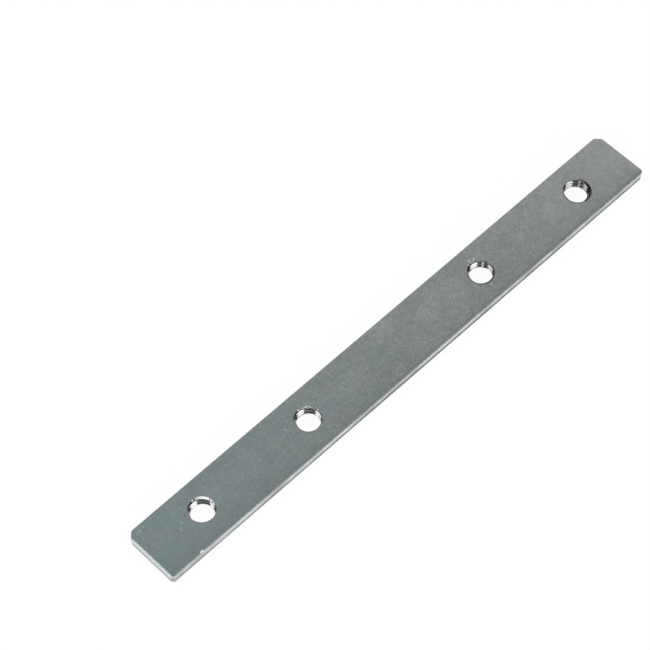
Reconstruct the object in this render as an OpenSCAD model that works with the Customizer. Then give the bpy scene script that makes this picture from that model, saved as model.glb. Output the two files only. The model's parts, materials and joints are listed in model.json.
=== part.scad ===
// Profile connector plate: a flat steel strip with four tapped holes in one line. It lies in the grooves of two
// profiles that meet end to end, and screws in its holes clamp it there.
// Millimetres. The strip lies flat. The origin is at the middle of its underside, +X runs along its length,
// +Y points to the long edge with the large corner cuts, and +Z is up, out of the rolled top face.

/* [Strip] */
// Length of the strip
strip_length = 150; // [120:1:250]
// Width of the strip
strip_width = 14.5; // [10:0.5:24]
// Thickness of the sheet it is blanked from
sheet_thickness = 3; // [2:0.25:6]

/* [Corners] */
// Corner cut at both ends of the lead edge, measured along each side
lead_corner_cut = 1.4; // [0.8:0.1:3]
// Corner cut at both ends of the trail edge, measured along each side
trail_corner_cut = 0.6; // [0.2:0.1:3]

/* [Blanked edge] */
// Radius of the edge that the die rolls over at the top face
roll_radius = 0.35; // [0.1:0.05:0.6]
// Height of the fracture band above the underside
fracture_height = 1.1; // [0.4:0.1:1.3]
// How far the fracture band leans in at the underside
fracture_lean = 0.12; // [0.04:0.02:0.3]

/* [Tapped holes] */
// Distance from each end of the strip to the outer hole
end_distance = 15.5; // [8:0.5:24]
// Distance from an outer hole to the inner hole on the same side
hole_spacing = 32; // [12:0.5:40]
// Diameter at the crests of the thread
crest_diameter = 5.5; // [4:0.1:5.8]
// Diameter of the countersinks at the two faces
countersink_diameter = 6.6; // [6:0.1:8]
// Full angle of the countersinks
countersink_angle = 90; // [80:5:120]

/* [Hidden] */
$fn = 96;

plate_colour = [0.50, 0.53, 0.53];
overshoot = 0.2;

// Distances of the cut corners from the middle, square to the cuts
half_girth = (strip_length + strip_width) / 2;
lead_corner_distance = (half_girth - lead_corner_cut) / sqrt(2);
trail_corner_distance = (half_girth - trail_corner_cut) / sqrt(2);

countersink_flare = tan(countersink_angle / 2);
countersink_depth = (countersink_diameter - crest_diameter) / 2 / countersink_flare;

outer_hole_x = strip_length / 2 - end_distance;
inner_hole_x = outer_hole_x - hole_spacing;

// Section of the blanked sheet between two edges: it leans out through the fracture band, stands upright in the
// burnished band and rolls over into the top face.
module blanked_section(low_edge, high_edge) {
    roll_start = sheet_thickness - roll_radius;
    polygon([
        [low_edge + fracture_lean, 0],
        [high_edge - fracture_lean, 0],
        [high_edge, fracture_height],
        [high_edge, roll_start],
        [high_edge - roll_radius, roll_start],
        [high_edge - roll_radius, sheet_thickness],
        [low_edge + roll_radius, sheet_thickness],
        [low_edge + roll_radius, roll_start],
        [low_edge, roll_start],
        [low_edge, fracture_height],
    ]);
    for (centre = [low_edge + roll_radius, high_edge - roll_radius])
        translate([centre, roll_start])
            circle(r = roll_radius);
}

// Bar with that section. The section's edges face along the given direction in the plane of the sheet.
module blanked_bar(direction, low_edge, high_edge) {
    rotate([0, 0, direction])
        rotate([90, 0, 0])
            linear_extrude(height = 2 * half_girth, center = true)
                blanked_section(low_edge, high_edge);
}

// Blank: what the bars of the two ends, the two long edges and the four corner cuts share.
module blank() {
    intersection() {
        blanked_bar(0, -strip_length / 2, strip_length / 2);
        blanked_bar(90, -strip_width / 2, strip_width / 2);
        blanked_bar(45, -trail_corner_distance, lead_corner_distance);
        blanked_bar(135, -trail_corner_distance, lead_corner_distance);
    }
}

// Room of one tapped hole: its bore at the thread's crests and a countersink at each face.
module tapped_hole_room() {
    mouth_radius = countersink_diameter / 2 + overshoot * countersink_flare;
    rotate_extrude()
        polygon([
            [0, -overshoot],
            [mouth_radius, -overshoot],
            [crest_diameter / 2, countersink_depth],
            [crest_diameter / 2, sheet_thickness - countersink_depth],
            [mouth_radius, sheet_thickness + overshoot],
            [0, sheet_thickness + overshoot],
        ]);
}

module connector_plate() {
    color(plate_colour)
        difference() {
            blank();
            for (x = [-outer_hole_x, -inner_hole_x, inner_hole_x, outer_hole_x])
                translate([x, 0, 0])
                    tapped_hole_room();
        }
}

connector_plate();
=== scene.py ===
"""Profile connector plate: a zinc-plated steel strip with four tapped holes, lying on a pale floor."""
import json
import math

import bmesh
import bpy
from mathutils import Matrix, Vector, noise
from mathutils.geometry import delaunay_2d_cdt


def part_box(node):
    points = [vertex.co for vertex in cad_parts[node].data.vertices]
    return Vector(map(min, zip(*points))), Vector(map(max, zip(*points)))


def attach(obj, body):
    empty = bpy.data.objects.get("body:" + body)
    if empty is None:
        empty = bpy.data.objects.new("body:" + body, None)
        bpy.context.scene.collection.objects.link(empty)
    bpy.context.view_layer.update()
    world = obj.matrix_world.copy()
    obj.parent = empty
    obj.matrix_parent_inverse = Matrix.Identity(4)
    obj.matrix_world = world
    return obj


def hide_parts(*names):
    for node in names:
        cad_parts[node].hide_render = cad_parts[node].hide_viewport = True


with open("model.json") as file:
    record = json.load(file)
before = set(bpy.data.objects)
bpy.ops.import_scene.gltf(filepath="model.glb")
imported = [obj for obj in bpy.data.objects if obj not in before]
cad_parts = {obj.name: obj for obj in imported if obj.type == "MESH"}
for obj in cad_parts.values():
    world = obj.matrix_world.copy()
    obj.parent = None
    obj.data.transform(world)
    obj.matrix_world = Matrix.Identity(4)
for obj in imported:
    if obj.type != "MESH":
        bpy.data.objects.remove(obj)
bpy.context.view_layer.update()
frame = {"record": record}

MM = 0.001
NODE = "connector_plate"
WHITE = (1, 1, 1, 1)

# Directions of the studio: from the plate to the front, where the camera is, to the right, and up
FRONT = Vector((-0.7126, -0.7016, 0))
RIGHT = Vector((0.7016, -0.7126, 0))
UP = Vector((0, 0, 1))

# Sizes taken from the frame
PLATE_LOW, PLATE_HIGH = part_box(NODE)
HALF_LENGTH = (PLATE_HIGH.x - PLATE_LOW.x) / 2
HALF_WIDTH = (PLATE_HIGH.y - PLATE_LOW.y) / 2
THICKNESS = PLATE_HIGH.z - PLATE_LOW.z
HOLES = [mount for mount in frame["record"]["mounts"] if mount["kind"] == "threaded_hole"]
HOLE_CENTRES = [Vector(hole["pos_m"][:2]) for hole in HOLES]
CREST_RADIUS = HOLES[0]["dims"]["r_mm"] * MM

# Blanked edge, as in the solid
LEAD_CORNER_CUT = 1.4 * MM
TRAIL_CORNER_CUT = 0.6 * MM
ROLL_RADIUS = 0.35 * MM
FRACTURE_HEIGHT = 1.1 * MM
FRACTURE_LEAN = 0.12 * MM

# Numbers of sides, counterclockwise from the trail edge: the two ends, and the cut at the near tip
END_SIDES = (2, 6)
TIP_SIDE = 7
DIAGONAL = math.sqrt(0.5)

# Rounding of each corner, counterclockwise from the one before the trail edge
CORNER_ROUNDINGS = [radius * MM for radius in (0.5, 0.7, 0.7, 0.9, 0.9, 0.9, 0.9, 0.5)]
CORNER_TURN = math.radians(45)
CORNER_STEPS = [0.0, 0.05 * MM, 0.12 * MM, 0.2 * MM, 0.3 * MM]
EDGE_STEP = 0.5 * MM

# Rows of the edge: shares of the height of the fracture band and of the burnished band, and steps of the roll
FRACTURE_SHARES = (0.04, 0.2, 0.36, 0.52, 0.68, 0.84, 0.96)
BURNISH_SHARES = (0.04, 0.25, 0.5, 0.75)
ROLL_STEPS = 10
EDGE_BREAK = 0.04 * MM
UNDERSIDE_BORDER = 3 * EDGE_BREAK

# Shallow dish of the top face beside its rolled edge
DISH_DEPTH = 0.1 * MM
DISH_REACH = 0.6 * MM
BORDER_INSETS = [0.5 * MM, 0.7 * MM, 0.9 * MM]
FACE_GRID = 0.5 * MM

# Torn grain of the fracture band, and the waves of the line above it
FRACTURE_GRAIN = 0.018 * MM
GRAIN_SIZE = 0.35 * MM
GRAIN_BIAS = 0.5
FRACTURE_WOBBLE = 0.14 * MM
LONG_WAVE = 3 * MM
SHORT_WAVE = 0.8 * MM
SHORT_WAVE_SHARE = 0.5
SHORT_WAVE_PLANE = 1 * MM

# Darkness of the torn band, partly the torn steel's own colour and partly painted shade: how high it reaches,
# how it starts, and its strength at ends and long edges
TORN_TOP = FRACTURE_HEIGHT + 0.15 * MM
TIP_TORN_TOP = 1.9 * MM
TORN_AT_UNDERSIDE = 0.2
TORN_RISE = 0.4 * MM
END_FRACTURE = 0.6
TORN_LEFT = 0.45
TORN_MIDDLE = 0.95
TORN_RIGHT = 0.72

# Painted shade on the roll, a darker and rougher colour, on each side, and how far the burnish climbs it,
# counterclockwise from the trail edge
ROLL_PAINTED_SHADE = [1.0, 0.9, 0.1, 0.1, 0.1, 0.1, 0.3, 0.9]
BURNISH_CLIMB = [0.4, 0.5, 0.2, 0.2, 0.2, 0.2, 0.6, 0.2]
CLIMB_BLUR = 0.25
ROLL_SHADE_TURN = 0.28
ROLL_SHADE_LEFT = 0.5
ROLL_SHADE_REACH = 45 * MM

# Bright nick in the trail edge near the left end, with a rubbed stretch beside it
NICK_X = -66.3 * MM
NICK_HALF_LENGTH = 0.6 * MM
NICK_DEPTH = 0.12 * MM
NICK_INWARD = 0.6
NICK_DOWN = 0.5
NICK_BOTTOM = THICKNESS - 2 * ROLL_RADIUS
NICK_INSET = 0.55 * MM
NICK_CORE = 0.6
NICK_TURN = 0.1
RUB_X = -64.9 * MM
RUB_HALF_LENGTH = 1.1 * MM
RUB_STRENGTH = 0.7

# Tapped holes, with a 6 mm coarse thread
COUNTERSINK_RADIUS = 3.3 * MM
# Radius of each upper countersink, and its shift off the hole's axis
UPPER_COUNTERSINKS = [
    (3.14 * MM, Vector((0.10, 0.33)) * MM),
    (3.22 * MM, Vector((-0.05, 0.23)) * MM),
    (3.20 * MM, Vector((-0.08, 0.09)) * MM),
    (3.30 * MM, Vector((0.20, -0.20)) * MM),
]
THREAD_PITCH = 1.0 * MM
THREAD_ROOT_RADIUS = 3.2 * MM
ROOT_FLAT = 0.46 * MM
FLANK_ANGLE = math.radians(30)
CREST_ROUNDING = 0.03 * MM
THREAD_STARTS = [0.40, 0.05, 0.10, 0.80]
PITCH_ROWS = 24
SPARE_TURNS = 2
HOLE_COLUMNS = 128
RIM_HOLD = 0.06 * MM
RIM_BORDER = 0.3 * MM
# Painted shade in each hole, a darker colour on its wall: all round, more on its right wall and more on its
# near wall
BORE_PAINTED_SHADES = [(0.0, 0.0, 0.0), (0.0, 0.3, 0.0), (0.1, 0.6, 0.9), (0.4, 0.5, 0.9)]
# Share of a hole's painted shade just outside its rim
RIM_PAINTED_SHADE = 0.8

WELD_DISTANCE = 1e-7
POINT_TOLERANCE = 1e-9
# Kind of output of the triangulation: triangles inside the border
INSIDE_BORDER = 1


# Outline of the plate

def outline_sides():
    """Each side, counterclockwise from the trail edge: its outward direction and distance from the middle."""
    half_girth = HALF_LENGTH + HALF_WIDTH
    lead = (half_girth - LEAD_CORNER_CUT) * DIAGONAL
    trail = (half_girth - TRAIL_CORNER_CUT) * DIAGONAL
    return [
        (Vector((0, -1)), HALF_WIDTH),
        (Vector((DIAGONAL, -DIAGONAL)), trail),
        (Vector((1, 0)), HALF_LENGTH),
        (Vector((DIAGONAL, DIAGONAL)), lead),
        (Vector((0, 1)), HALF_WIDTH),
        (Vector((-DIAGONAL, DIAGONAL)), lead),
        (Vector((-1, 0)), HALF_LENGTH),
        (Vector((-DIAGONAL, -DIAGONAL)), trail),
    ]


SIDES = outline_sides()


def outline_corner(index, inset):
    """Corner where the side before index meets the side of that index, with both moved inwards by inset."""
    before, before_distance = SIDES[index - 1]
    after, after_distance = SIDES[index % len(SIDES)]
    first = before_distance - inset
    second = after_distance - inset
    cross = before.x * after.y - before.y * after.x
    return Vector((
        (first * after.y - second * before.y) / cross,
        (before.x * second - after.x * first) / cross,
    ))


def outline_samples():
    """Side and fraction along it of each point round the outline, closer together at the corners."""
    samples = []
    for side in range(len(SIDES)):
        length = (outline_corner(side + 1, 0) - outline_corner(side, 0)).length
        start = CORNER_STEPS[-1] / length
        steps = max(1, round((length - 2 * CORNER_STEPS[-1]) / EDGE_STEP))
        fractions = [step / length for step in CORNER_STEPS]
        fractions += [start + (1 - 2 * start) * step / steps for step in range(1, steps)]
        fractions += [1 - step / length for step in reversed(CORNER_STEPS[1:])]
        samples += [(side, fraction) for fraction in fractions]
    return samples


def outline_point(sample, inset):
    """Point on the outline, with its corners rounded, moved inwards by inset."""
    side, fraction = sample
    start = outline_corner(side, inset)
    end = outline_corner(side + 1, inset)
    point = start.lerp(end, fraction)
    corner = side if fraction < 0.5 else (side + 1) % len(SIDES)
    radius = max(0.0, CORNER_ROUNDINGS[corner] - inset)
    if fraction == 0:
        inward = -(SIDES[side - 1][0] + SIDES[side][0]).normalized()
        return point + inward * radius * (1 / math.cos(CORNER_TURN / 2) - 1)
    from_corner = min(fraction, 1 - fraction) * (end - start).length
    reach = radius * math.tan(CORNER_TURN / 2) - from_corner
    if reach <= 0:
        return point
    return point - SIDES[side][0] * (radius - math.sqrt(radius * radius - reach * reach))


def edge_distance(point):
    """Distance of a point inside the outline from its nearest side."""
    return min(distance - direction.dot(point) for direction, distance in SIDES)


# Shape of the edge

def dish(inset):
    """Depth of the top face's dish at a distance from the edge."""
    return DISH_DEPTH * math.exp(-inset / DISH_REACH)


ROLL_TOP = THICKNESS - dish(ROLL_RADIUS)
ROLL_START = ROLL_TOP - ROLL_RADIUS


def edge_rows():
    """Inset and height of each row of the blanked edge, from the underside to the top face."""
    rows = [(FRACTURE_LEAN + UNDERSIDE_BORDER, 0.0), (FRACTURE_LEAN + EDGE_BREAK, 0.0)]
    for share in FRACTURE_SHARES:
        rows.append((FRACTURE_LEAN * (1 - share), FRACTURE_HEIGHT * share))
    for share in BURNISH_SHARES:
        rows.append((0.0, FRACTURE_HEIGHT + (ROLL_START - FRACTURE_HEIGHT) * share))
    for step in range(ROLL_STEPS + 1):
        turn = math.pi / 2 * step / ROLL_STEPS
        rows.append((ROLL_RADIUS * (1 - math.cos(turn)), ROLL_START + ROLL_RADIUS * math.sin(turn)))
    for inset in BORDER_INSETS:
        rows.append((inset, THICKNESS - dish(inset)))
    return rows


def nick_share(point):
    """How deep the nick is at a point beside the trail edge, from 0 to 1."""
    if point.y > 0:
        return 0.0
    reach = abs(point.x - NICK_X) / NICK_HALF_LENGTH
    return max(0.0, 1 - reach * reach) ** 2


def fracture_grain(point, height):
    """Roughness of the torn band, strongest at the middle of its height."""
    if height <= 0 or height >= FRACTURE_HEIGHT:
        return 0.0
    swell = math.sin(math.pi * height / FRACTURE_HEIGHT)
    place = Vector((point.x, point.y, height)) / GRAIN_SIZE
    return FRACTURE_GRAIN * swell * max(0.0, noise.noise(place) + GRAIN_BIAS)


def fracture_wobble(point, height):
    """Rise and fall of the line between the torn and the burnished band, which fades to both faces."""
    if height <= 0 or height >= ROLL_START:
        return 0.0
    below = height / FRACTURE_HEIGHT
    above = (ROLL_START - height) / (ROLL_START - FRACTURE_HEIGHT)
    wave = noise.noise(Vector((point.x, point.y, 0)) / LONG_WAVE)
    wave += SHORT_WAVE_SHARE * noise.noise(Vector((point.x, point.y, SHORT_WAVE_PLANE)) / SHORT_WAVE)
    return FRACTURE_WOBBLE * min(below, above) * wave


def edge_vertex(sample, inset, height):
    """Place of one point of the edge, with the torn grain and the nick."""
    point = outline_point(sample, inset)
    share = nick_share(point) if height > NICK_BOTTOM else 0.0
    height += fracture_wobble(point, height)
    point = outline_point(sample, inset + fracture_grain(point, height) + NICK_DEPTH * share * NICK_INWARD)
    return Vector((point.x, point.y, height - NICK_DEPTH * share * NICK_DOWN))


# Zones of the edge that the material tells apart

EDGE_ZONES = ("burnish", "fracture", "roll", "bare", "nick")


def fade(value, low, high):
    """1 up to low, 0 from high on, and a straight line between them."""
    return min(1.0, max(0.0, (high - value) / (high - low)))


def roll_turn(inset, height):
    """How far a row has turned over the roll: 0 on the upright band and 1 on the top face."""
    if height < ROLL_START:
        return 0.0
    if inset >= ROLL_RADIUS:
        return 1.0
    return math.atan2(height - ROLL_START, ROLL_RADIUS - inset) / (math.pi / 2)


def rub_share(point):
    """How much the roll is rubbed at a point beside the trail edge, from 0 to 1."""
    if point.y > 0:
        return 0.0
    return max(0.0, 1 - abs(point.x - RUB_X) / RUB_HALF_LENGTH)


def torn_and_shade_strength(point):
    """Darkness of the torn band, partly painted shade, on all sides but the ends: most at the middle of the
    plate.
    """
    along = point.x / HALF_LENGTH
    at_corner = TORN_LEFT if along < 0 else TORN_RIGHT
    return TORN_MIDDLE + (at_corner - TORN_MIDDLE) * abs(along)


def torn_and_shade_share(side, point, height):
    """Darkness of the torn band at one point of the edge, partly painted shade."""
    top = TIP_TORN_TOP if side == TIP_SIDE else TORN_TOP
    if not 0 < height < top:
        return 0.0
    strength = END_FRACTURE if side in END_SIDES else torn_and_shade_strength(point)
    return min(1.0, TORN_AT_UNDERSIDE + height / TORN_RISE) * strength


def roll_shade_strength(point):
    """Strength of the painted shade on the roll on all sides but the ends: less towards the left end."""
    return ROLL_SHADE_LEFT + (1 - ROLL_SHADE_LEFT) * (1 - fade(point.x + HALF_LENGTH, 0.0, ROLL_SHADE_REACH))


def roll_shade_share(side, point, inset, turn, nick):
    """Painted shade on the roll at one point of the edge: none in the nick, and less where it is rubbed."""
    dull = min(1.0, turn / ROLL_SHADE_TURN) * fade(inset, ROLL_RADIUS, BORDER_INSETS[-1]) * ROLL_PAINTED_SHADE[side]
    dull *= (1 - nick) * (1 - RUB_STRENGTH * rub_share(point))
    return dull if side in END_SIDES else dull * roll_shade_strength(point)


def vertex_zones(sample, inset, height):
    """Shares of the zones in EDGE_ZONES at one point of the edge."""
    side = sample[0]
    point = outline_point(sample, inset)
    turn = roll_turn(inset, height)
    nick = nick_share(point) * fade(inset, NICK_INSET * NICK_CORE, NICK_INSET) if turn > NICK_TURN else 0.0
    climb = BURNISH_CLIMB[side]
    burnish = fade(turn, climb - CLIMB_BLUR, climb + CLIMB_BLUR) if height > 0 else 0.0
    bare = float(side in END_SIDES)
    # The torn band's darkness is partly painted shade
    torn = torn_and_shade_share(side, point, height)
    # The roll's share is painted shade, darker on some sides than on others
    dull = roll_shade_share(side, point, inset, turn, nick)
    return max(burnish, nick), torn, dull, max(bare, nick), nick


# Mesh of the edge

def add_grid(mesh, rows):
    """Quads between closed rows of points. The rows run counterclockwise, from the bottom to the top."""
    made = [[mesh.verts.new(point) for point in row] for row in rows]
    for lower, upper in zip(made, made[1:]):
        for index in range(len(lower)):
            mesh.faces.new((lower[index - 1], lower[index], upper[index], upper[index - 1]))
    return made


def add_edge(mesh, layers):
    """Edge all round the plate, with the shares of its zones. Gives its first and last row."""
    samples = outline_samples()
    sections = edge_rows()
    rows = [[edge_vertex(sample, inset, height) for sample in samples] for inset, height in sections]
    made = add_grid(mesh, rows)
    for (inset, height), row in zip(sections, made):
        for sample, vertex in zip(samples, row):
            for layer, share in zip(layers, vertex_zones(sample, inset, height)):
                vertex[layer] = share
    return made[0], made[-1]


# Tapped holes

def thread_radius(along):
    """Radius of the threaded wall at a distance along the axis from the middle of a crest."""
    depth = THREAD_ROOT_RADIUS - CREST_RADIUS
    flank = depth * math.tan(FLANK_ANGLE)
    crest_half = (THREAD_PITCH - ROOT_FLAT) / 2 - flank
    away = abs(along - THREAD_PITCH * round(along / THREAD_PITCH))
    rise = (away - crest_half) / math.tan(FLANK_ANGLE)
    rounded = (rise + math.hypot(rise, CREST_ROUNDING)) / 2
    return CREST_RADIUS + min(rounded, depth)


def countersink_reach(countersink, direction, upward):
    """Distance of a countersink's rim from the hole's axis. Only the upper ones differ from hole to hole."""
    radius, shift = countersink
    return radius + shift.dot(direction) if upward else COUNTERSINK_RADIUS


def rim_gap(point, upward):
    """Distance of a point from the nearest rim on one face, below 0 inside the hole."""
    gaps = []
    for centre, countersink in zip(HOLE_CENTRES, UPPER_COUNTERSINKS):
        away = point - centre
        gaps.append(away.length - countersink_reach(countersink, away.normalized(), upward))
    return min(gaps)


def column_direction(column):
    """Direction from a hole's axis to one column of its wall."""
    angle = 2 * math.pi * column / HOLE_COLUMNS
    return Vector((math.cos(angle), math.sin(angle)))


def hole_radius(along, height, countersink, direction):
    """Radius of a hole's wall: its thread between the two countersinks, which it joins at their rims."""
    lower = countersink_reach(countersink, direction, False)
    upper = countersink_reach(countersink, direction, True)
    depth = THICKNESS - height
    thread = min(thread_radius(along), lower + height, upper + depth)
    return max(thread, lower - height, upper - depth)


def wall_rows():
    """Distance along the axis of each row of a hole's wall, with turns to spare below and above the plate."""
    turns = math.ceil(THICKNESS / THREAD_PITCH) + SPARE_TURNS
    return [THREAD_PITCH * row / PITCH_ROWS for row in range(-PITCH_ROWS, turns * PITCH_ROWS)]


WALL_ROWS = wall_rows()


def add_hole_column(mesh, centre, countersink, column, start):
    """Points of one column of a hole's wall. They follow the helix and are held between the two faces."""
    direction = column_direction(column)
    lift = THREAD_PITCH * (column / HOLE_COLUMNS - start)
    points = []
    for along in WALL_ROWS:
        height = min(max(along + lift, 0.0), THICKNESS)
        place = centre + direction * hole_radius(height - lift, height, countersink, direction)
        points.append(mesh.verts.new((place.x, place.y, height)))
    return points


def add_hole_wall(mesh, centre, countersink, start):
    """Wall of one hole. Its last column meets the first one a whole pitch higher."""
    columns = [add_hole_column(mesh, centre, countersink, column, start) for column in range(HOLE_COLUMNS)]
    for column, this in enumerate(columns):
        following = columns[(column + 1) % HOLE_COLUMNS]
        climb = PITCH_ROWS if column + 1 == HOLE_COLUMNS else 0
        for row in range(len(WALL_ROWS) - 1 - climb):
            low = row + climb
            mesh.faces.new((this[row], this[row + 1], following[low + 1], following[low]))


def rim_circle(centre, countersink, border, upward):
    """Points at a distance outside a hole's rim on one face."""
    height = THICKNESS if upward else 0.0
    circle = []
    for column in range(HOLE_COLUMNS):
        direction = column_direction(column)
        place = centre + direction * (countersink_reach(countersink, direction, upward) + border)
        circle.append(Vector((place.x, place.y, height)))
    return circle


def add_rims(mesh, centre, countersink):
    """Narrow flat rings round a hole, on both faces. Gives the outer circle of each."""
    borders = (0.0, RIM_HOLD, RIM_BORDER)
    top = [rim_circle(centre, countersink, border, True) for border in reversed(borders)]
    bottom = [rim_circle(centre, countersink, border, False) for border in borders]
    add_grid(mesh, top)
    add_grid(mesh, bottom)
    return bottom[-1], top[0]


def bore_share(point, painted_shade):
    """1 on the wall of a hole, and a share that depends on the painted shade just outside its rim."""
    gap = rim_gap(point.xy, point.z > THICKNESS / 2)
    if gap < RIM_HOLD / 2:
        return 1.0
    return RIM_PAINTED_SHADE * painted_shade if gap < RIM_HOLD * 2 else 0.0


def bore_painted_shade(point):
    """Share of painted shade on the wall of the hole that is nearest to a point."""
    gaps = [(point.xy - centre).length for centre in HOLE_CENTRES]
    nearest = gaps.index(min(gaps))
    outward = (point.xy - HOLE_CENTRES[nearest]).normalized()
    everywhere, right, near = BORE_PAINTED_SHADES[nearest]
    more = right * max(0.0, outward.dot(RIGHT.xy)) + near * max(0.0, outward.dot(FRONT.xy))
    return min(1.0, everywhere + more)


# Faces

def face_height(point):
    """Height of the top face, with its dish."""
    return THICKNESS - dish(edge_distance(point))


def face_points():
    """Loose points of the top face, clear of its border and of the holes."""
    clear_hole = RIM_BORDER + FACE_GRID / 2
    clear_edge = BORDER_INSETS[-1] + FACE_GRID / 3
    points = []
    for across in range(round(2 * HALF_WIDTH / FACE_GRID) + 1):
        for along in range(round(2 * HALF_LENGTH / FACE_GRID) + 1):
            point = Vector((along * FACE_GRID - HALF_LENGTH, across * FACE_GRID - HALF_WIDTH))
            if edge_distance(point) < clear_edge:
                continue
            if rim_gap(point, True) > clear_hole:
                points.append(point)
    return points


def face_loops(border, rims):
    """Places, heights, edges and loop numbers of the points on a face's border, number 0, and on its rims."""
    flat = []
    heights = []
    edges = []
    numbers = []
    for number, loop in enumerate([border] + rims):
        first = len(flat)
        flat += [Vector((point[0], point[1])) for point in loop]
        heights += [point[2] for point in loop]
        edges += [(first + (index - 1) % len(loop), first + index) for index in range(len(loop))]
        numbers += [number] * len(loop)
    return flat, heights, edges, numbers


def add_face(mesh, border, rims, loose, upward):
    """Triangles of one face between its border and the rims, without those that lie in a hole."""
    flat, heights, edges, numbers = face_loops(border, rims)
    flat += loose
    heights += [face_height(point) for point in loose]
    numbers += [0] * len(loose)
    places, _, triangles, origins, _, _ = delaunay_2d_cdt(flat, edges, [], INSIDE_BORDER, POINT_TOLERANCE)
    sources = [origin[0] for origin in origins]
    made = []
    for place, source in zip(places, sources):
        made.append(mesh.verts.new((place.x, place.y, heights[source])))
    for triangle in triangles:
        touched = {numbers[sources[index]] for index in triangle}
        in_hole = len(touched) == 1 and touched != {0}
        if in_hole:
            continue
        face = mesh.faces.new([made[index] for index in triangle])
        face.normal_update()
        if (face.normal.z > 0) != upward:
            face.normal_flip()


# Plate

def add_surface(work, edge_layers):
    """Edge, holes and faces of the plate."""
    bottom_border, top_border = add_edge(work, edge_layers)
    bottom_rims = []
    top_rims = []
    for centre, countersink, start in zip(HOLE_CENTRES, UPPER_COUNTERSINKS, THREAD_STARTS):
        add_hole_wall(work, centre, countersink, start)
        bottom_rim, top_rim = add_rims(work, centre, countersink)
        bottom_rims.append(bottom_rim)
        top_rims.append(top_rim)
    add_face(work, [vertex.co for vertex in top_border], top_rims, face_points(), True)
    add_face(work, [vertex.co for vertex in bottom_border], bottom_rims, [], False)


def plate_mesh():
    """Closed mesh of the plate, with the shares that its material reads."""
    work = bmesh.new()
    edge_layers = [work.verts.layers.float.new(name) for name in EDGE_ZONES]
    bore_layer = work.verts.layers.float.new("bore")
    shade_layer = work.verts.layers.float.new("painted_shade")
    add_surface(work, edge_layers)
    for vertex in work.verts:
        # Painted shade on the walls of the holes
        vertex[shade_layer] = bore_painted_shade(vertex.co)
        vertex[bore_layer] = bore_share(vertex.co, vertex[shade_layer])
    bmesh.ops.remove_doubles(work, verts=work.verts, dist=WELD_DISTANCE)
    bmesh.ops.recalc_face_normals(work, faces=work.faces)
    mesh = bpy.data.meshes.new("connector_plate_finish")
    work.to_mesh(mesh)
    work.free()
    mesh.shade_smooth()
    return mesh


# Nodes

def node(tree, kind, values=(), **settings):
    """New node with its settings, input values and links. A value that is a socket is linked."""
    made = tree.nodes.new(kind)
    for name, value in settings.items():
        setattr(made, name, value)
    for key, value in dict(values).items():
        if isinstance(value, bpy.types.NodeSocket):
            tree.links.new(value, made.inputs[key])
        else:
            made.inputs[key].default_value = value
    return made


def blend_colour(tree, share, first, second):
    made = node(tree, "ShaderNodeMix", {0: share, 6: first, 7: second}, data_type="RGBA")
    return made.outputs[2]


def blend_number(tree, share, first, second):
    made = node(tree, "ShaderNodeMix", {0: share, 2: first, 3: second}, data_type="FLOAT")
    return made.outputs[0]


def calculate(tree, operation, *values, **settings):
    made = node(tree, "ShaderNodeMath", dict(enumerate(values)), operation=operation, **settings)
    return made.outputs[0]


def times(tree, first, second):
    return calculate(tree, "MULTIPLY", first, second)


def vector_value(tree, operation, first, second):
    """Number that an operation on two vectors gives."""
    made = node(tree, "ShaderNodeVectorMath", {0: first, 1: second}, operation=operation)
    return made.outputs["Value"]


def attribute(tree, name):
    return node(tree, "ShaderNodeAttribute", attribute_name=name).outputs["Fac"]


def grain(tree, place, size, detail=2.0, roughness=0.5):
    """Noise of a size, around 0.5."""
    made = node(tree, "ShaderNodeTexNoise", {
        "Vector": place, "Scale": 1 / size, "Detail": detail, "Roughness": roughness})
    return made.outputs["Fac"]


def stretch(tree, value, low, high, out_low, out_high):
    """Value from low to high, moved in proportion to out_low to out_high and held there."""
    made = node(tree, "ShaderNodeMapRange", {0: value, 1: low, 2: high, 3: out_low, 4: out_high})
    return made.outputs[0]


# Material

# Zinc of the face in a darker bluish and a lighter neutral tint; their blend along the plate is a painted
# reflection
FACE_COOL = (0.199, 0.242, 0.247, 1)
FACE_WARM = (0.283, 0.290, 0.276, 1)
SPECK_COLOUR = (0.60, 0.63, 0.62, 1)
SPARKLE_COLOUR = (0.40, 0.43, 0.43, 1)
BURNISH_DULL = (0.44, 0.455, 0.46, 1)
BURNISH_BRIGHT = (0.73, 0.75, 0.76, 1)
BARE_COLOUR = (0.73, 0.76, 0.765, 1)
NICK_COLOUR = (0.95, 0.97, 0.97, 1)
# Torn band: partly the torn steel's own dark colour and partly painted shade at the foot of the edge
FRACTURE_AND_SHADE_COLOUR = (0.12, 0.125, 0.12, 1)
# Painted shade on the roll
ROLL_SHADE_COLOUR = (0.19, 0.205, 0.205, 1)
BORE_COLOUR = (0.36, 0.37, 0.365, 1)
# Near-black painted shade in the holes
PAINTED_SHADE_COLOUR = (0.10, 0.104, 0.10, 1)

# Light specks in the zinc of the top face: place in millimetres from the middle of the plate, and strength
SPECKS = [
    (-64.7, 1.0, 0.5),
    (-65.9, -0.2, 0.3),
    (-71.2, 6.0, 0.4),
    (-72.4, 5.8, 0.4),
    (-73.2, 5.6, 0.3),
    (-33.0, 1.8, 0.4),
    (27.7, 4.0, 1.0),
    (28.8, 3.6, 1.0),
]
SPECK_RADIUS = 0.4 * MM

# Detail and roughness of the noise in the finer grain
FINE_NOISE = (3.0, 0.6)
# Range of the noise that becomes all shares from none to full
EVEN_RANGE = (0.35, 0.65)

# Tint of the face: its drift along the plate, a painted reflection that turns lighter and more neutral
# towards the right end, and clouds
PAINTED_REFLECTION_DRIFT = 0.8
TINT_CLOUD_SIZE = 5 * MM
TINT_CLOUD_SHARE = 0.2

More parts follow.
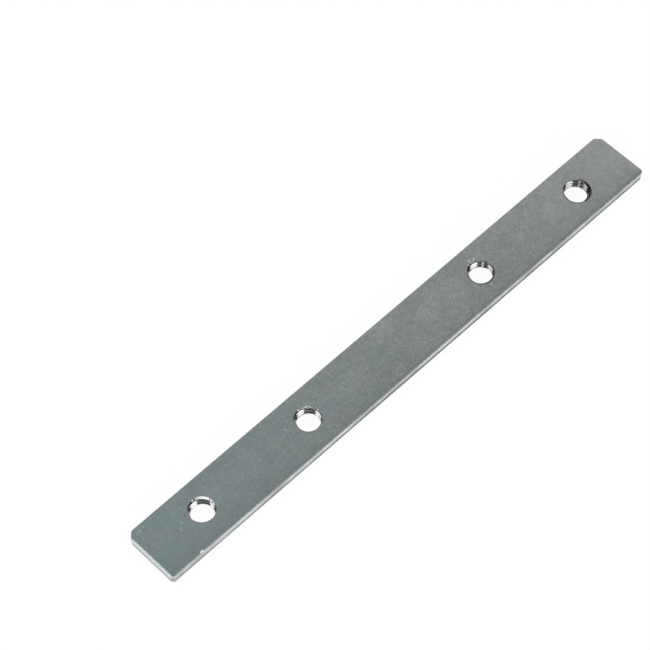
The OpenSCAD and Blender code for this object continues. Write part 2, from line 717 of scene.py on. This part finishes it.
# Stretch towards the right end in which fine grain and sparkle soften, and what is left or lost there
SOFT_X = (44 * MM, 66 * MM)
SPARKLE_LEFT_OVER = 0.3
SPECKLE_LOST = 0.5

# Sparkle of the crystals, from the left end to where it is full
CRYSTAL_SIZE = 0.45 * MM
CRYSTAL_DETAIL = 0.0
CRYSTAL_RANGE = (0.68, 0.80)
SPARKLE_X = (-HALF_LENGTH, -10 * MM)
SPARKLE_STRENGTH = (0.15, 0.42)

# Mottling of the face: size of each kind of grain, the noise's range and the shades it makes
SPECKLE_SIZE = 0.5 * MM
SPECKLE_RANGE = (0.25, 0.75)
SPECKLE_SHADES = (0.76, 1.24)
PATCH_SIZE = 1.3 * MM
PATCH_SHADES = (0.9, 1.1)
CLOUD_SIZE = 6 * MM
CLOUD_SHADES = (0.93, 1.07)
MOTTLE_RANGE = (0.3, 0.7)
MOTTLING_X = (-HALF_LENGTH, 10 * MM)
MOTTLING_STRENGTH = (0.5, 1.0)
TRAIL_SHADE = 0.88
MIDDLE_SHADE = 0.95
MIDDLE_HALF_LENGTH = 20 * MM

# Edge: bright and dull stretches of the burnish, and blotches of the roll's painted shade
BURNISH_TURN_SIZE = 6 * MM
BURNISH_TURN_DETAIL = 3.0
BLOTCH_SIZE = 1.4 * MM
BLOTCH_RANGE = (0.3, 0.6)
BLOTCH_SHARES = (0.55, 1.0)

FACE_ROUGHNESS = (0.34, 0.46)
BURNISH_ROUGHNESS = 0.28
FRACTURE_ROUGHNESS = 0.5
ROLL_ROUGHNESS = 0.55
BORE_ROUGHNESS = 0.12
BUMP_STRENGTH = 0.2
BUMP_HEIGHT = 0.02 * MM


def sparkle_share(tree, place, along):
    """Fine crystals of the zinc that catch the light, fewer towards both ends."""
    noise_value = grain(tree, place, CRYSTAL_SIZE, CRYSTAL_DETAIL)
    crystals = stretch(tree, noise_value, *CRYSTAL_RANGE, 0.0, 1.0)
    crystals = times(tree, crystals, stretch(tree, along, *SOFT_X, 1.0, SPARKLE_LEFT_OVER))
    return times(tree, crystals, stretch(tree, along, *SPARKLE_X, *SPARKLE_STRENGTH))


def speck_share(tree, place):
    """Strength of each speck at its middle, falling to 0 at its edge."""
    share = 0.0
    for x, y, strength in SPECKS:
        away = vector_value(tree, "DISTANCE", place, Vector((x * MM, y * MM, THICKNESS)))
        near = stretch(tree, away, 0.0, SPECK_RADIUS, strength, 0.0)
        share = calculate(tree, "MAXIMUM", share, near)
    return share


def face_colour(tree, place):
    """Colour of the top face: bluish at the left end and neutral and lighter at the right one, a painted
    reflection, with clouds of both that are the zinc's own.
    """
    along = node(tree, "ShaderNodeSeparateXYZ", {0: place}).outputs["X"]
    # Painted reflection: the face turns lighter and more neutral towards the right end
    reflection_drift = stretch(tree, along, -HALF_LENGTH, HALF_LENGTH, 0.0, PAINTED_REFLECTION_DRIFT)
    clouds = stretch(tree, grain(tree, place, TINT_CLOUD_SIZE), *EVEN_RANGE, 0.0, TINT_CLOUD_SHARE)
    share = calculate(tree, "ADD", reflection_drift, clouds, use_clamp=True)
    zinc = blend_colour(tree, share, FACE_COOL, FACE_WARM)
    zinc = blend_colour(tree, sparkle_share(tree, place, along), zinc, SPARKLE_COLOUR)
    return blend_colour(tree, speck_share(tree, place), zinc, SPECK_COLOUR)


def mottling(tree, place, along, speckle):
    """Speckle, patches and clouds of the zinc. The speckle is softer at the right end."""
    fine = stretch(tree, speckle, *SPECKLE_RANGE, *SPECKLE_SHADES)
    fine = blend_number(tree, stretch(tree, along, *SOFT_X, 0.0, SPECKLE_LOST), fine, 1.0)
    patches = stretch(tree, grain(tree, place, PATCH_SIZE, *FINE_NOISE), *MOTTLE_RANGE, *PATCH_SHADES)
    clouds = stretch(tree, grain(tree, place, CLOUD_SIZE), *MOTTLE_RANGE, *CLOUD_SHADES)
    return times(tree, times(tree, fine, patches), clouds)


def face_shade(tree, place, speckle):
    """Shade of the zinc: mottling that grows from the left end, and a darker trail side and middle."""
    parts = node(tree, "ShaderNodeSeparateXYZ", {0: place})
    along = parts.outputs["X"]
    strength = stretch(tree, along, *MOTTLING_X, *MOTTLING_STRENGTH)
    mottled = blend_number(tree, strength, 1.0, mottling(tree, place, along, speckle))
    trail = stretch(tree, parts.outputs["Y"], -HALF_WIDTH, 0.0, TRAIL_SHADE, 1.0)
    from_middle = calculate(tree, "ABSOLUTE", along)
    middle = stretch(tree, from_middle, MIDDLE_HALF_LENGTH, HALF_LENGTH, MIDDLE_SHADE, 1.0)
    return times(tree, times(tree, mottled, trail), middle)


def edge_colour(tree, place):
    """Burnished metal, bright and dull by turns, brighter where it is bare and brightest in the nick."""
    turns = stretch(tree, grain(tree, place, BURNISH_TURN_SIZE, BURNISH_TURN_DETAIL), *EVEN_RANGE, 0.0, 1.0)
    burnished = blend_colour(tree, turns, BURNISH_DULL, BURNISH_BRIGHT)
    edge = blend_colour(tree, attribute(tree, "bare"), burnished, BARE_COLOUR)
    return blend_colour(tree, attribute(tree, "nick"), edge, NICK_COLOUR)


def roll_share(tree, place):
    """Share of the roll's painted shade, a darker colour, in blotches."""
    blotches = stretch(tree, grain(tree, place, BLOTCH_SIZE), *BLOTCH_RANGE, *BLOTCH_SHARES)
    return times(tree, attribute(tree, "roll"), blotches)


def steel_colour(tree, place, speckle, roll):
    """Colour of the face, the edge's zones and the holes."""
    shade = face_shade(tree, place, speckle)
    face = node(tree, "ShaderNodeVectorMath", {
        0: face_colour(tree, place), "Scale": shade}, operation="SCALE").outputs[0]
    colour = blend_colour(tree, attribute(tree, "burnish"), face, edge_colour(tree, place))
    # Torn band: partly its own dark steel and partly painted shade at the foot of the edge
    colour = blend_colour(tree, attribute(tree, "fracture"), colour, FRACTURE_AND_SHADE_COLOUR)
    # Painted shade on the roll
    colour = blend_colour(tree, roll, colour, ROLL_SHADE_COLOUR)
    # Painted shade in the holes: their walls, and a thin ring outside some rims, turn darker
    bore = blend_colour(tree, attribute(tree, "painted_shade"), BORE_COLOUR, PAINTED_SHADE_COLOUR)
    return blend_colour(tree, attribute(tree, "bore"), colour, bore)


def steel_roughness(tree, speckle, roll):
    """Roughness of the face, the edge's zones and the holes."""
    rough = stretch(tree, speckle, *MOTTLE_RANGE, *FACE_ROUGHNESS)
    rough = blend_number(tree, attribute(tree, "burnish"), rough, BURNISH_ROUGHNESS)
    rough = blend_number(tree, attribute(tree, "fracture"), rough, FRACTURE_ROUGHNESS)
    rough = blend_number(tree, roll, rough, ROLL_ROUGHNESS)
    return blend_number(tree, attribute(tree, "bore"), rough, BORE_ROUGHNESS)


def zinc_steel():
    material = bpy.data.materials.new("zinc_steel_finish")
    material.use_nodes = True
    tree = material.node_tree
    shader = tree.nodes["Principled BSDF"]
    shader.inputs["Metallic"].default_value = 1.0
    place = node(tree, "ShaderNodeTexCoord").outputs["Object"]
    speckle = grain(tree, place, SPECKLE_SIZE, *FINE_NOISE)
    roll = roll_share(tree, place)
    tree.links.new(steel_colour(tree, place, speckle, roll), shader.inputs["Base Color"])
    tree.links.new(steel_roughness(tree, speckle, roll), shader.inputs["Roughness"])
    bump = node(tree, "ShaderNodeBump", {
        "Height": speckle, "Strength": BUMP_STRENGTH, "Distance": BUMP_HEIGHT})
    tree.links.new(bump.outputs[0], shader.inputs["Normal"])
    return material


def build_plate():
    mesh = plate_mesh()
    mesh.materials.append(zinc_steel())
    plate = bpy.data.objects.new("connector_plate_finish", mesh)
    bpy.context.scene.collection.objects.link(plate)
    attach(plate, "root")
    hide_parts(NODE)


# Floor

FLOOR_HALF_SIZE = 3.0
FLOOR_DROP = 0.02 * MM
FLOOR_COLOUR = (0.9, 0.9, 0.9, 1)
FLOOR_WHITE_SHARE = 0.95
FLOOR_MIRROR_SHARE = 0.4


def white_share(tree):
    """Share of plain white in the floor, for the camera, through clear things and in reflections."""
    path = node(tree, "ShaderNodeLightPath")
    seen = calculate(tree, "MAXIMUM", path.outputs["Is Camera Ray"], path.outputs["Is Transmission Ray"])
    direct = times(tree, seen, FLOOR_WHITE_SHARE)
    mirrored = times(tree, path.outputs["Is Glossy Ray"], FLOOR_MIRROR_SHARE)
    return calculate(tree, "MAXIMUM", direct, mirrored)


def floor_material():
    material = bpy.data.materials.new("floor_white")
    material.use_nodes = True
    tree = material.node_tree
    tree.nodes.clear()
    matte = node(tree, "ShaderNodeBsdfDiffuse", {"Color": FLOOR_COLOUR}).outputs[0]
    white = node(tree, "ShaderNodeEmission", {"Color": WHITE, "Strength": 1.0}).outputs[0]
    mixed = node(tree, "ShaderNodeMixShader", {0: white_share(tree), 1: matte, 2: white})
    node(tree, "ShaderNodeOutputMaterial", {"Surface": mixed.outputs[0]})
    return material


def build_floor():
    mesh = bpy.data.meshes.new("floor")
    size = FLOOR_HALF_SIZE
    corners = [(-size, -size, 0), (size, -size, 0), (size, size, 0), (-size, size, 0)]
    mesh.from_pydata(corners, [], [(0, 1, 2, 3)])
    mesh.materials.append(floor_material())
    floor = bpy.data.objects.new("floor", mesh)
    floor.location.z = PLATE_LOW.z - FLOOR_DROP
    bpy.context.scene.collection.objects.link(floor)


# Camera

CAMERA_PLACE = Vector((-225.315, -199.337, 496.937)) * MM
CAMERA_AIM = Vector((-6.456, 16.112, 0.0)) * MM
CAMERA_ROLL = math.radians(0.82)
CAMERA_LENS = 143.392
SENSOR_WIDTH = 36.0


def build_camera():
    data = bpy.data.cameras.new("camera")
    data.sensor_fit = "HORIZONTAL"
    data.sensor_width = SENSOR_WIDTH
    data.lens = CAMERA_LENS
    camera = bpy.data.objects.new("camera", data)
    aim = (CAMERA_AIM - CAMERA_PLACE).to_track_quat("-Z", "Y").to_matrix().to_4x4()
    camera.matrix_world = Matrix.Translation(CAMERA_PLACE) @ aim @ Matrix.Rotation(CAMERA_ROLL, 4, "Z")
    bpy.context.scene.collection.objects.link(camera)
    bpy.context.scene.camera = camera


# Light: a pale back, dark sides, a dark front with a low strip and a band of light, and three softboxes

BACK_SKY = [
    (0.0, (0.25, 0.25, 0.25, 1)),
    (0.2, (0.40, 0.40, 0.40, 1)),
    (0.4, (1.25, 1.25, 1.22, 1)),
    (0.6, (1.30, 1.30, 1.27, 1)),
    (0.8, (1.00, 1.01, 1.00, 1)),
    (0.89, (0.84, 0.86, 0.87, 1)),
    (1.0, (0.68, 0.70, 0.71, 1)),
]
SIDE_WALL = (0.10, 0.10, 0.10, 1)
FRONT_WALL = (0.04, 0.04, 0.04, 1)
FRONT_BAND = (0.85, 0.87, 0.87, 1)
FRONT_STRIP = (3.0, 3.0, 3.0, 1)

# Soft edges of the walls, the band and the strip: where each begins and ends, as a part of a direction
SIDE_WALL_EDGE = (0.5, 0.7)
SIDE_WALL_END = (-0.62, -0.45)
FRONT_WALL_EDGE = (0.0, 0.25)
FRONT_BAND_EDGE = (0.33, 0.45)
FRONT_BAND_BOTTOM = (0.57, 0.64)
FRONT_BAND_TOP = (0.74, 0.80)
FRONT_STRIP_EDGE = (0.3, 0.45)
STRIP_BLUR = 0.018
# Height of the strip's top by the distance of a direction from the middle of the front
FRONT_STRIP_TOP = [
    (0.20, 0.495),
    (0.45, 0.457),
    (0.56, 0.432),
    (0.65, 0.412),
    (0.70, 0.34),
    (0.78, 0.34),
    (0.85, 0.48),
]

# Name, place in metres, size in metres and radiance of each softbox
SOFTBOXES = [
    ("softbox_left", -0.60 * RIGHT + 0.14 * FRONT + 0.72 * UP, (0.6, 0.36), 3.0),
    ("softbox_right", 0.60 * RIGHT + 0.14 * FRONT + 0.72 * UP, (0.6, 0.36), 3.0),
    ("softbox_front", Vector((-0.033, -0.051, 0.19)), (0.025, 0.08), 2.5),
]


def colour_ramp(tree, value, stops):
    made = node(tree, "ShaderNodeValToRGB", {0: value})
    elements = made.color_ramp.elements
    while len(elements) < len(stops):
        elements.new(0.5)
    for element, (place, colour) in zip(elements, stops):
        element.position = place
        element.color = colour
    return made.outputs[0]


def share_along(tree, direction, axis, edge):
    """Share that grows from 0 to 1 as the direction's part along the axis crosses a soft edge."""
    return stretch(tree, vector_value(tree, "DOT_PRODUCT", direction, axis), *edge, 0.0, 1.0)


def back_and_sides(tree, direction, height):
    """Pale back, and dark side walls that end before it."""
    shade = colour_ramp(tree, height, BACK_SKY)
    beside = share_along(tree, direction, FRONT, SIDE_WALL_END)
    for axis in (RIGHT, -RIGHT):
        side = times(tree, share_along(tree, direction, axis, SIDE_WALL_EDGE), beside)
        shade = blend_colour(tree, side, shade, SIDE_WALL)
    return shade


def band_share(tree, direction, height):
    """1 in the band of light above the front, and 0 outside it."""
    bottom = stretch(tree, height, *FRONT_BAND_BOTTOM, 0.0, 1.0)
    top = stretch(tree, height, *FRONT_BAND_TOP, 1.0, 0.0)
    return times(tree, times(tree, bottom, top), share_along(tree, direction, FRONT, FRONT_BAND_EDGE))


def strip_share(tree, direction, height):
    """1 in the low strip of light at the front, and 0 above and beside it."""
    aside = calculate(tree, "ABSOLUTE", vector_value(tree, "DOT_PRODUCT", direction, RIGHT))
    stops = [(place, (top, top, top, 1)) for place, top in FRONT_STRIP_TOP]
    above = calculate(tree, "SUBTRACT", height, colour_ramp(tree, aside, stops))
    lit = stretch(tree, above, -STRIP_BLUR, STRIP_BLUR, 1.0, 0.0)
    return times(tree, lit, share_along(tree, direction, FRONT, FRONT_STRIP_EDGE))


def build_world():
    world = bpy.data.worlds.new("studio")
    bpy.context.scene.world = world
    world.use_nodes = True
    tree = world.node_tree
    direction = node(tree, "ShaderNodeTexCoord").outputs["Generated"]
    height = node(tree, "ShaderNodeSeparateXYZ", {0: direction}).outputs["Z"]
    shade = back_and_sides(tree, direction, height)
    shade = blend_colour(tree, share_along(tree, direction, FRONT, FRONT_WALL_EDGE), shade, FRONT_WALL)
    shade = blend_colour(tree, band_share(tree, direction, height), shade, FRONT_BAND)
    shade = blend_colour(tree, strip_share(tree, direction, height), shade, FRONT_STRIP)
    seen = node(tree, "ShaderNodeLightPath").outputs["Is Camera Ray"]
    background = tree.nodes["Background"]
    tree.links.new(blend_colour(tree, seen, shade, WHITE), background.inputs["Color"])


def build_softboxes():
    for name, place, size, radiance in SOFTBOXES:
        data = bpy.data.lights.new(name, "AREA")
        data.shape = "RECTANGLE"
        data.size, data.size_y = size
        data.energy = radiance * math.pi * size[0] * size[1]
        lamp = bpy.data.objects.new(name, data)
        lamp.location = place
        lamp.rotation_euler = (-place).to_track_quat("-Z", "Y").to_euler()
        lamp.visible_camera = False
        bpy.context.scene.collection.objects.link(lamp)


build_plate()
build_floor()
build_camera()
build_world()
build_softboxes()
bpy.context.scene.view_settings.view_transform = "Standard"
